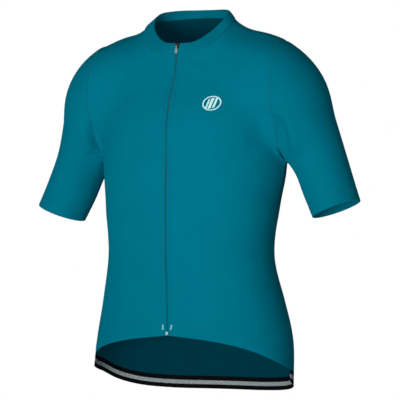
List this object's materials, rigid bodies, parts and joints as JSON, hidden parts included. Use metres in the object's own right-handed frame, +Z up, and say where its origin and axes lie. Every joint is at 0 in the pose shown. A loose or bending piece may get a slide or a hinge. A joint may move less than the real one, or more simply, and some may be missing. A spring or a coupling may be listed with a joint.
{
  "type": "cycling jersey",
  "caption": "Close-fitting short-sleeve cycling jersey with a full-length front zip, low stand collar, dropped gripper hem and rear pocket, filled out and hollow.",
  "frame": {"origin": "the point between the shoulders at the base of the neck, where the wearer holds the garment up", "axes": "+Z up, the front faces -Y, the wearer's left is +X"},
  "size_m": [0.6606, 0.2453, 0.7206],
  "materials": {
    "knit_body": "smooth fine polyester knit, matt with a faint sheen",
    "knit_sleeve": "smooth fine polyester knit, matt with a faint sheen",
    "knit_collar": "two layers of the same knit, matt",
    "gripper_elastic": "woven elastic, black with a grey flecked stripe",
    "zip_tape": "woven tape with a moulded coil in the same colour",
    "zip_metal": "satin grey metal",
    "reflective_tab": "pale reflective heat-bonded tab",
    "badge_print": null
  },
  "bodies": {
    "jersey": {"front_left": "knit_body", "front_right": "knit_body", "back": "knit_body", "sleeve_left": "knit_sleeve", "sleeve_right": "knit_sleeve", "collar": "knit_collar", "hem_gripper": "gripper_elastic", "rear_pocket": "knit_body", "zip_chain": "zip_tape", "zip_slider": "zip_metal", "zip_bottom_stop": "zip_metal", "zip_mark_left": "reflective_tab", "zip_mark_right": "reflective_tab", "chest_badge": "badge_print"},
    "zip_pull_tab": {"zip_pull": "zip_metal"}
  },
  "joints": [
    {"name": "pull_hinge", "type": "hinge", "parent": "jersey", "child": "zip_pull_tab", "pos_m": [0, -0.0701, -0.04466], "axis": [-1, 0, 0], "range_deg": [0, 165]}
  ]
}
